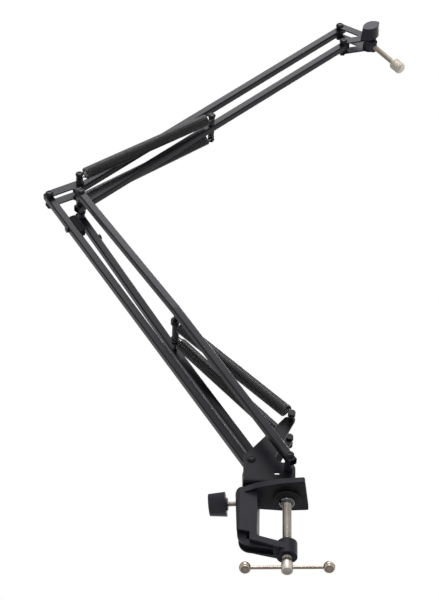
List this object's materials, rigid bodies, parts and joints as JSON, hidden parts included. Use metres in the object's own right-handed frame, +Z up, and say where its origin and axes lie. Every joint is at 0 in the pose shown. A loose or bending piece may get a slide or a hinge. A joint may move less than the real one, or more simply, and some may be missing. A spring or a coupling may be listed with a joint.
{
  "type": "microphone boom arm",
  "caption": "Desk-clamped microphone boom arm with sprung parallel-linkage lower and upper arms, a swivelling base, a screw clamp and a tilting threaded microphone stud.",
  "frame": {"origin": "on the underside of the clamp's upper jaw, below the outer bars' base pivot, in the arm's plane", "axes": "+Z up, +X from the swivel post towards the jaw's tip, +Y away from the tilt knob along the pivots"},
  "size_m": [0.4761, 0.0908, 0.9548],
  "materials": {
    "painted_tube": "black satin paint",
    "painted_cast": "black satin powder coat",
    "spring_steel": "black coated wire",
    "black_fastener": "black oxide",
    "nickel_steel": "nickel plate",
    "black_plastic": "moulded matt",
    "gloss_black_plastic": "gloss",
    "foot_plastic": "moulded matt"
  },
  "bodies": {
    "clamp": {"clamp_frame": "painted_cast", "jaw_pad": "foot_plastic"},
    "foot": {"pressure_foot": "foot_plastic", "foot_socket": "gloss_black_plastic"},
    "screw": {"clamp_screw": "nickel_steel"},
    "handle": {"handle_bar": "nickel_steel", "handle_balls": "nickel_steel"},
    "lock_rod": {"lock_bolt": "nickel_steel"},
    "lock_grip": {"lock_knob": "black_plastic"},
    "base": {"base_bracket": "painted_tube", "base_post": "black_fastener", "base_pin_left": "black_fastener", "base_pin_right": "black_fastener", "base_spacers_inner": "black_fastener", "base_spacers_outer": "black_plastic", "base_nuts": "black_fastener", "spring_anchor_bolts": "black_fastener", "lower_spring_front": "spring_steel", "lower_spring_back": "spring_steel"},
    "lower_bars": {"lower_bar_front": "painted_tube", "lower_bar_back": "painted_tube", "lower_cross_pin": "black_fastener", "lower_cross_sleeve": "black_plastic", "lower_collars": "black_fastener", "stop_screw_back": "black_fastener"},
    "lower_link": {"lower_bar_centre": "painted_tube", "stop_block": "black_plastic", "stop_screw": "black_fastener"},
    "elbow": {"elbow_plate_front": "painted_tube", "elbow_plate_back": "painted_tube", "elbow_pin_left": "black_fastener", "elbow_pin_right": "black_fastener", "spring_post": "black_fastener", "elbow_spacers_inner": "black_fastener", "elbow_spacers_outer": "black_plastic", "post_sleeves": "black_plastic", "elbow_nuts": "black_fastener", "upper_spring_front": "spring_steel", "upper_spring_back": "spring_steel"},
    "upper_main": {"upper_bar_lower": "painted_tube", "upper_cross_pin": "black_fastener", "upper_cross_nut": "black_fastener", "upper_cross_sleeves": "black_plastic"},
    "upper_link": {"upper_bar_upper": "painted_tube"},
    "head": {"head_plate_front": "painted_tube", "head_plate_back": "painted_tube", "head_pin_upper": "black_fastener", "head_pin_lower": "black_fastener", "head_washers": "black_fastener", "head_nuts": "black_fastener", "tilt_nut": "black_fastener"},
    "mic_mount": {"tilt_block": "black_plastic", "mic_stem": "nickel_steel", "mic_stud": "nickel_steel"},
    "tilt_rod": {"tilt_stud": "black_fastener"},
    "tilt_grip": {"tilt_knob": "black_plastic"}
  },
  "joints": [
    {"name": "foot_press", "type": "slide", "parent": "clamp", "child": "foot", "axis": [0, 0, 1], "range_m": [-0.042, 0.0025]},
    {"name": "screw_turn", "type": "hinge", "parent": "foot", "child": "screw", "pos_m": [-0.00087, -0.00636, 0], "axis": [0, 0, 1], "range_deg": [-10090, 610]},
    {"name": "handle_slide", "type": "slide", "parent": "screw", "child": "handle", "axis": [0.9972, -0.075, 0], "range_m": [-0.032, 0.032]},
    {"name": "lock_travel", "type": "slide", "parent": "clamp", "child": "lock_rod", "axis": [-0.989, 0.1478, 0], "range_m": [0, 0.003]},
    {"name": "lock_turn", "type": "hinge", "parent": "lock_rod", "child": "lock_grip", "pos_m": [-0.0434, 0, -0.005], "axis": [-0.989, 0.1478, 0], "range_deg": [-10, 1090]},
    {"name": "base_swivel", "type": "hinge", "parent": "clamp", "child": "base", "pos_m": [-0.0434, 0, 0], "axis": [0, 0, 1], "continuous": true},
    {"name": "lower_arm_tilt", "type": "hinge", "parent": "base", "child": "lower_bars", "pos_m": [0, 0, 0.032], "axis": [0, -1, 0], "range_deg": [-50, 15], "deforming": ["lower_spring_front", "lower_spring_back"]},
    {"name": "lower_link_tilt", "type": "hinge", "parent": "base", "child": "lower_link", "pos_m": [-0.0412, 0, 0.0442], "axis": [0, -1, 0], "range_deg": [-51, 16]},
    {"name": "elbow_level", "type": "hinge", "parent": "lower_bars", "child": "elbow", "pos_m": [-0.2621, 0, 0.46021], "axis": [0, -1, 0], "range_deg": [-16, 51]},
    {"name": "upper_arm_tilt", "type": "hinge", "parent": "elbow", "child": "upper_main", "pos_m": [-0.2621, 0, 0.46021], "axis": [0, -1, 0], "range_deg": [-45, 30], "deforming": ["upper_spring_front", "upper_spring_back"]},
    {"name": "upper_link_tilt", "type": "hinge", "parent": "elbow", "child": "upper_link", "pos_m": [-0.2664, 0, 0.49491], "axis": [0, -1, 0], "range_deg": [-46, 31]},
    {"name": "head_level", "type": "hinge", "parent": "upper_main", "child": "head", "pos_m": [0.07947, 0, 0.80888], "axis": [0, -1, 0], "range_deg": [-31, 46]},
    {"name": "mic_tilt", "type": "hinge", "parent": "head", "child": "mic_mount", "pos_m": [0.11647, 0, 0.81998], "axis": [0, -1, 0], "range_deg": [-45, 80]},
    {"name": "tilt_travel", "type": "slide", "parent": "head", "child": "tilt_rod", "axis": [0, -1, 0], "range_m": [0, 0.002]},
    {"name": "tilt_turn", "type": "hinge", "parent": "tilt_rod", "child": "tilt_grip", "pos_m": [0.11647, 0, 0.81998], "axis": [0, -1, 0], "range_deg": [-10, 730]}
  ],
  "couplings": [
    {"joint": "screw_turn", "follows": "foot_press", "rad_per_m": 4188.8},
    {"joint": "lock_turn", "follows": "lock_travel", "rad_per_m": 6283.2},
    {"joint": "lower_link_tilt", "follows": "lower_arm_tilt", "ratio": 1},
    {"joint": "elbow_level", "follows": "lower_arm_tilt", "ratio": -1},
    {"joint": "upper_link_tilt", "follows": "upper_arm_tilt", "ratio": 1},
    {"joint": "head_level", "follows": "upper_arm_tilt", "ratio": -1},
    {"joint": "tilt_turn", "follows": "tilt_travel", "rad_per_m": 6283.2}
  ]
}
